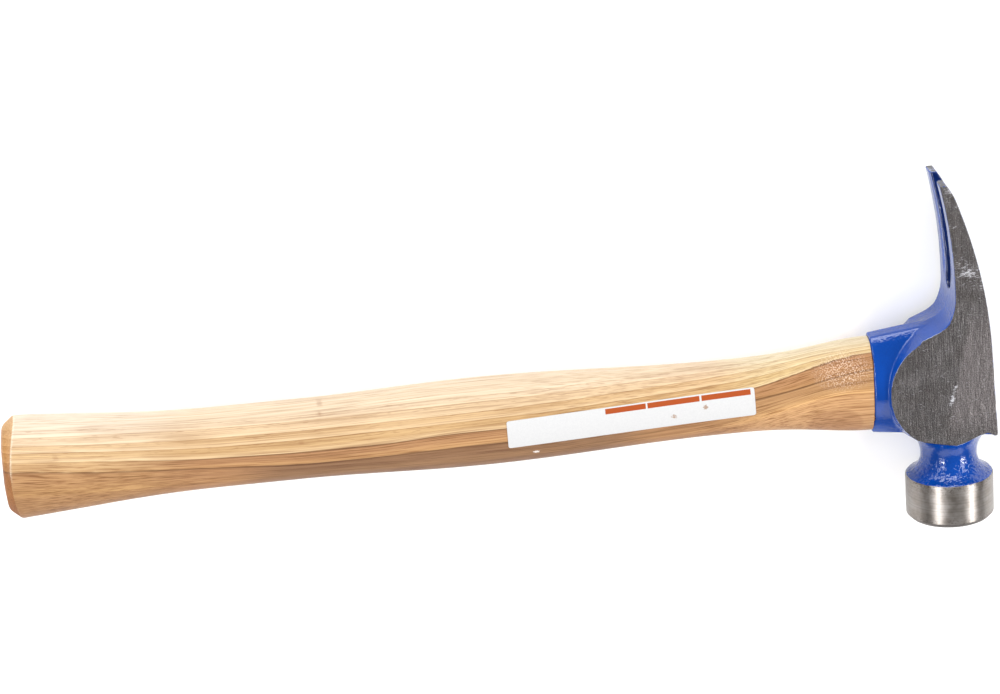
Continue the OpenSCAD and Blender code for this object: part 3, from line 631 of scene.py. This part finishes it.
# Striking face: the end of the same forging, turned bright on a lathe after painting, with a chamfered edge
# and a slightly crowned face. The tool left fine rings, which draw each light out into an upright streak.
FACE_V, CROWN_R, CROWN_H = -62.4, 16.45, 1.0  # mm from the crossing of the axes, and size of the crown
CHAMFER_V, FACE_ROUND = -59.6, 0.35  # mm, where the chamfer starts and how far its edges are cut back
FACE_TURNS = 192
crown_r = np.linspace(CROWN_R, 0.6, 14)
shoulder_turn = np.radians(np.linspace(36, 0, 9))
rim_v = np.array([-47, -50, -53, -56, CHAMFER_V])
face_profile = np.concatenate([
    [[11.0, -43.4], [17.5, -42.95]],
    np.stack([RIM_R - BELL_R + BELL_R * np.cos(shoulder_turn), BELL_V + BELL_R * np.sin(shoulder_turn)], -1),
    np.stack([0 * rim_v + RIM_R, rim_v], -1),
    np.stack([crown_r, FACE_V + CROWN_H * (crown_r / CROWN_R) ** 2], -1)])
edge_at = len(face_profile) - len(crown_r)
face_profile = soften(soften(face_profile, edge_at, FACE_ROUND), edge_at - 1, FACE_ROUND)
face_r, face_v = face_profile.T
turn = np.arange(FACE_TURNS) * 2 * np.pi / FACE_TURNS
# The paint was cut back unevenly, so the top edge wanders by 0.2 mm
wobble = sum(0.05 * np.sin(n * turn + n * n) for n in (4, 7, 13, 23, 41))
face_points = np.stack([face_r[:, None] * np.cos(turn),
                        face_v[:, None] + wobble * ease((face_v[:, None] + 43.5) / 1.4),
                        face_r[:, None] * np.sin(turn)], -1).reshape(-1, 3)
run = np.gradient(face_profile, axis=0)
run = run / np.linalg.norm(run, axis=-1, keepdims=True)
tangent = np.stack([run[:, :1] * np.cos(turn), run[:, 1:] + 0 * turn, run[:, :1] * np.sin(turn)], -1)
# Shares of chamfer, and of pitted bands next to both edges of the rim, on each ring of the profile
chamfer_edge = ease((-59.3 - face_v) / 0.4) * ease((face_r - 16.1) / 0.5)
pitted = ease((face_v + 48.5) / 4) + ease((-56.5 - face_v) / 3)
rows = len(face_profile)
face = make_piece(
    "striking_face", face_points, ring_faces(rows, FACE_TURNS),
    [range(FACE_TURNS)[::-1], range((rows - 1) * FACE_TURNS, rows * FACE_TURNS)],
    {"lay": tangent.reshape(-1, 3),
     "edge": np.repeat(chamfer_edge, FACE_TURNS),
     "pitted": np.repeat(pitted, FACE_TURNS)}, sharp=30)

# Turned steel: bright, with rings 0.1 mm apart that are drawn 0.4 mm apart so that they show, and with dull
# smears of 4 mm from handling
turned, t = new_material("turned_steel")
spot = node(t, "TexCoord", {})["Object"]
mark = {name: node(t, "Attribute", {}, attribute_name=name)["Fac"] for name in ("edge", "pitted")}
place = node(t, "VectorMath", {0: spot, 1: tuple(HEAD_AT / -1000)}, operation="ADD")[0]
place = node(t, "SeparateXYZ", {0: place})
radius = node(t, "CombineXYZ", {0: place[0], 1: place[2]})[0]
radius = node(t, "VectorMath", {0: radius}, operation="LENGTH")["Value"]
round_poll = node(t, "CombineXYZ", {0: radius, 1: place[1]})[0]
rings = node(t, "TexNoise", {"Vector": round_poll, "Scale": 2500.0, "Detail": 2.0})["Fac"]
smear = node(t, "TexNoise", {"Vector": spot, "Scale": 240.0, "Detail": 3.0})["Fac"]
bright = node(t, "ValToRGB", {"Fac": rings}, [(0.25, "#918C88"), (0.75, "#A6A19D")])[0]
worn_grey = node(t, "ValToRGB", {"Fac": smear}, [(0.3, "#C6BFB8"), (0.65, "#FFFFFF")])[0]
bright = node(t, "Mix", {0: 0.7, 6: bright, 7: worn_grey}, data_type="RGBA", blend_type="MULTIPLY")[2]
# Pits of 0.8 mm are left next to both edges of the rim
pits = node(t, "TexNoise", {"Vector": spot, "Scale": 1200.0, "Detail": 2.0})["Fac"]
pits = node(t, "MapRange", {0: pits, 1: 0.54, 2: 0.66})[0]
pits = node(t, "Math", {0: pits, 1: mark["pitted"]}, operation="MULTIPLY", use_clamp=True)[0]
pits = node(t, "Math", {0: pits, 1: 0.7}, operation="MULTIPLY")[0]
bright = node(t, "Mix", {0: pits, 6: bright, 7: linear("#5E5652")}, data_type="RGBA")[2]
# The chamfer is painted darker than the rim, as painted shade
painted_chamfer_shade = node(t, "Math", {0: mark["edge"], 1: 0.8}, operation="MULTIPLY")[0]
node(t, "OutputMaterial", {"Surface": node(t, "BsdfPrincipled", {
    "Base Color": node(t, "Mix", {0: painted_chamfer_shade, 6: bright, 7: linear("#4A4542")}, data_type="RGBA")[2],
    "Metallic": 1.0,
    "Roughness": node(t, "MapRange", {0: smear, 1: 0.3, 2: 0.7, 3: 0.38, 4: 0.48})[0],
    "Anisotropic": 0.7,
    "Tangent": node(t, "Attribute", {}, attribute_name="lay")["Vector"],
    "Normal": node(t, "Bump", {"Strength": 0.12, "Distance": 0.0001, "Height": rings})[0]})[0]})
face.data.materials.append(turned)
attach(face, "root")


# Wooden wedge: a flat taper of pale hardwood, driven into the saw cut across the tongue and trimmed level.
# It shows as a stripe of end grain along the eye.
wedge_wood, t = new_material("birch_end_grain")
spot = node(t, "TexCoord", {})["Object"]
# Pale hardwood cut square to its fibres: pores are 0.1 mm across, and they are drawn at 0.5 mm by 2.5 mm deep
# so that they show
stretched = node(t, "VectorMath", {0: spot, 1: (400, 2200, 2200)}, operation="MULTIPLY")[0]
speck = node(t, "TexNoise", {"Vector": stretched, "Scale": 1.0, "Detail": 3.0})["Fac"]
node(t, "OutputMaterial", {"Surface": node(t, "BsdfPrincipled", {
    "Base Color": node(t, "ValToRGB", {"Fac": speck}, [(0.3, "#B98C5C"), (0.7, "#DDBB8C")])[0],
    "Roughness": 0.62,
    "Normal": node(t, "Bump", {"Strength": 0.3, "Distance": 0.0001, "Height": speck})[0]})[0]})
wooden_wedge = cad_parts["wooden_wedge"]
wooden_wedge.data.materials.clear()
wooden_wedge.data.materials.append(wedge_wood)


# Steel wedges: two toothed strips of mild steel, sheared from bar and left dull by the mill. They are driven
# across the wooden wedge to spread the tongue against the eye.
wedge_steel, t = new_material("mild_steel_wedge")
spot = node(t, "TexCoord", {})["Object"]
# Rolled steel is grey and uneven in gloss, with mill marks 0.3 mm wide and 1.4 to 2 mm long
stretched = node(t, "VectorMath", {0: spot, 1: (700, 3000, 500)}, operation="MULTIPLY")[0]
mill = node(t, "TexNoise", {"Vector": stretched, "Scale": 1.0, "Detail": 3.0})["Fac"]
node(t, "OutputMaterial", {"Surface": node(t, "BsdfPrincipled", {
    "Base Color": node(t, "ValToRGB", {"Fac": mill}, [(0.3, "#77716B"), (0.7, "#A8A39E")])[0],
    "Metallic": 1.0,
    "Roughness": node(t, "MapRange", {0: mill, 1: 0.3, 2: 0.7, 3: 0.3, 4: 0.5})[0],
    "Normal": node(t, "Bump", {"Strength": 0.2, "Distance": 0.0001, "Height": mill})[0]})[0]})
for name in ("steel_wedge_claw_side", "steel_wedge_face_side"):
    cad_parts[name].data.materials.clear()
    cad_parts[name].data.materials.append(wedge_steel)


# Label: a strip of coated paper, printed with plain orange bars, cut with round corners and glued round the
# upper side of the handle a little askew.
LABEL_L, LABEL_H, LABEL_S, LABEL_DROP = 102.6, 12.0, 255.55, 0.7
LABEL_TILT = np.radians(1.9)
CORNER, LABEL_UNDER, LABEL_TOP = 1.0, 0.1, 0.28  # mm, the last two above the wood
corner_in = CORNER * (1 - np.cos(np.linspace(0.12, np.pi / 2, 7)))
across = np.concatenate([corner_in, np.arange(2, LABEL_L - 1.5, 1.0), LABEL_L - corner_in[::-1]])
from_end = np.minimum(np.minimum(across, LABEL_L - across), CORNER)
label_half = LABEL_H / 2 - CORNER + np.sqrt(CORNER**2 - (CORNER - from_end) ** 2)
share = np.linspace(-1, 1, 25)
p, q = np.broadcast_arrays((across - LABEL_L / 2)[:, None], label_half[:, None] * share)
label_s = LABEL_S + p * np.cos(LABEL_TILT) - q * np.sin(LABEL_TILT)
label_v = p * np.sin(LABEL_TILT) + q * np.cos(LABEL_TILT) - LABEL_DROP
outward = (1 - (np.abs(label_v) / half_height(label_s)) ** OVAL_POWER) ** (1 / OVAL_POWER)
sheet = np.stack([BUTT_X + label_s, label_v, half_width(label_s) * outward], -1)
label_points = np.concatenate([sheet + (0, 0, LABEL_TOP), sheet[:, ::-1] + (0, 0, LABEL_UNDER)], 1)
# Place on the print: mm from the label's middle along and up it, and 1 on the printed side
print_place = np.concatenate([np.stack([p, q, 0 * p + 1], -1), np.stack([p, q, 0 * p], -1)[:, ::-1]], 1)
rows, columns = label_points.shape[:2]
label = make_piece("paper_label", label_points.reshape(-1, 3), ring_faces(rows, columns),
                   [range(columns)[::-1], range((rows - 1) * columns, rows * columns)],
                   {"print": print_place.reshape(-1, 3)}, sharp=50)

# Coated paper: white with a slight sheen and faint fibres of 0.7 mm; the orange is a flat ink
paper, t = new_material("coated_label_paper")
spot = node(t, "TexCoord", {})["Object"]
pulp = node(t, "TexNoise", {"Vector": spot, "Scale": 1500.0, "Detail": 3.0})["Fac"]
white = node(t, "ValToRGB", {"Fac": pulp}, [(0.3, "#BCBCBD"), (0.7, "#C2C2C2")])[0]
BAR_V, BAR_HALF_H = 4.3, 1.15  # mm above the label's middle, and half height
print_at = node(t, "Attribute", {}, attribute_name="print")["Vector"]
ink_at = node(t, "SeparateXYZ", {0: print_at})
height_band = node(t, "Math", {0: ink_at[1], 1: BAR_V, 2: BAR_HALF_H}, operation="COMPARE")[0]
bars = 0.0
for middle_p, half_l in ((-2.2, 8.4), (17.7, 10.8), (39.5, 10.2)):
    bar = node(t, "Math", {0: ink_at[0], 1: middle_p, 2: half_l}, operation="COMPARE")[0]
    bars = node(t, "Math", {0: bar, 1: bars}, operation="ADD", use_clamp=True)[0]
ink = node(t, "Math", {0: bars, 1: height_band}, operation="MULTIPLY")[0]
paper_colour = node(t, "Mix", {0: ink, 6: white, 7: linear("#984212")}, data_type="RGBA")[2]
# Two ragged spots are rubbed through to brown, 2 mm across
for rubbed_at in ((17.5, -2.0, 1.0), (30.7, 0.3, 1.0)):
    gap = node(t, "VectorMath", {0: print_at, 1: rubbed_at}, operation="DISTANCE")["Value"]
    gap = node(t, "Math", {0: pulp, 1: 2.4, 2: gap}, operation="MULTIPLY_ADD")[0]
    rubbed = node(t, "MapRange", {0: gap, 1: 2.2, 2: 1.8, 3: 0.0, 4: 0.75})[0]
    paper_colour = node(t, "Mix", {0: rubbed, 6: paper_colour, 7: linear("#8C6746")}, data_type="RGBA")[2]
node(t, "OutputMaterial", {"Surface": node(t, "BsdfPrincipled", {
    "Base Color": paper_colour, "Roughness": 0.42, "IOR": 1.48})[0]})
label.data.materials.append(paper)
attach(label, "root")
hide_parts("label")


# Studio: a white paper floor between two tall soft lights at the sides, a small lamp under each, and two low
# broad ones behind and in front. The camera stands high over the head's side and looks down through a long
# lens.
FLOOR_HALF = 6.0  # m
floor_mesh = bpy.data.meshes.new("floor")
floor_corners = [(FLOOR_HALF * x, FLOOR_HALF * y, 0) for x, y in ((-1, -1), (1, -1), (1, 1), (-1, 1))]
floor_mesh.from_pydata(floor_corners, [], [(0, 1, 2, 3)])
floor = bpy.data.objects.new("floor", floor_mesh)
bpy.context.scene.collection.objects.link(floor)
floor_paper, t = new_material("white_floor_paper")
node(t, "OutputMaterial", {"Surface": node(t, "BsdfPrincipled", {
    "Base Color": linear("#F7F7F7"), "Roughness": 0.9, "Specular IOR Level": 0.0})[0]})
floor_mesh.materials.append(floor_paper)

world = bpy.data.worlds.new("studio")
world.use_nodes = True
world.node_tree.nodes["Background"].inputs[0].default_value = (1.0, 0.98, 0.96, 1)
world.node_tree.nodes["Background"].inputs[1].default_value = 0.2
bpy.context.scene.world = world
# Name, place and aim in m, width and height in m, and power in W of each light
for name, place, aim, size, power in (
        ("left_softbox", (-0.62, 0.05, 0.95), (0.12, 0, 0), (0.3, 1.4), 11.5),
        ("right_softbox", (1.0, 0.05, 0.8), (0.18, 0, 0), (0.3, 1.4), 11.5),
        ("left_lamp", (-0.6, -0.42, 0.92), (0.18, 0, 0), (0.05, 0.05), 2.6),
        ("right_lamp", (0.98, -0.42, 0.77), (0.18, 0, 0), (0.05, 0.05), 2.6),
        ("rear_softbox", (-0.05, 1.35, 0.45), (0, 0, 0), (1.8, 0.5), 22.0),
        ("front_softbox", (0.1, -1.35, 0.8), (0, 0, 0), (2.2, 0.9), 10.0)):
    light = bpy.data.lights.new(name, "AREA")
    light.shape, light.size, light.size_y, light.energy = "RECTANGLE", size[0], size[1], power
    light.use_shadow = not name.endswith("lamp")  # the small lamps only add glints
    lamp = bpy.data.objects.new(name, light)
    direction = np.array(place) - np.array(aim)
    side = np.cross((0, 1, 0), direction)
    upright = np.cross(direction, side)
    axes = np.stack([a / np.linalg.norm(a) for a in (side, upright, direction)], -1)
    pose = np.eye(4)
    pose[:3, :3], pose[:3, 3] = axes, place
    lamp.matrix_world = Matrix(pose.tolist())
    bpy.context.scene.collection.objects.link(lamp)

YAW, ELEVATION, ROLL = np.radians([5.87, 20.18, -3.53])
TARGET, DISTANCE = np.array([-184.0, 31.18, 0.0]), 1885.1  # mm about the head
PHOTO_W, FOCAL_PX, SENSOR_W = 1000, 4641, 36.0  # pixels, pixels and mm
behind = np.array([-np.sin(YAW) * np.cos(ELEVATION), np.sin(ELEVATION), np.cos(YAW) * np.cos(ELEVATION)])
right = np.cross((0, 1, 0), behind)
right = right / np.linalg.norm(right)
up = np.cross(behind, right)
pose = np.eye(4)
pose[:3, 0] = np.cos(ROLL) * right + np.sin(ROLL) * up
pose[:3, 1] = -np.sin(ROLL) * right + np.cos(ROLL) * up
pose[:3, 2] = behind
pose[:3, 3] = (TARGET + behind * DISTANCE + HEAD_AT) / 1000
lens = bpy.data.cameras.new("camera")
lens.sensor_width, lens.lens = SENSOR_W, FOCAL_PX * SENSOR_W / PHOTO_W
lens.clip_start, lens.clip_end = 0.05, 50.0
camera = bpy.data.objects.new("camera", lens)
camera.matrix_world = Matrix(pose.tolist())
bpy.context.scene.collection.objects.link(camera)
bpy.context.scene.camera = camera
bpy.context.scene.view_settings.view_transform = "Standard"
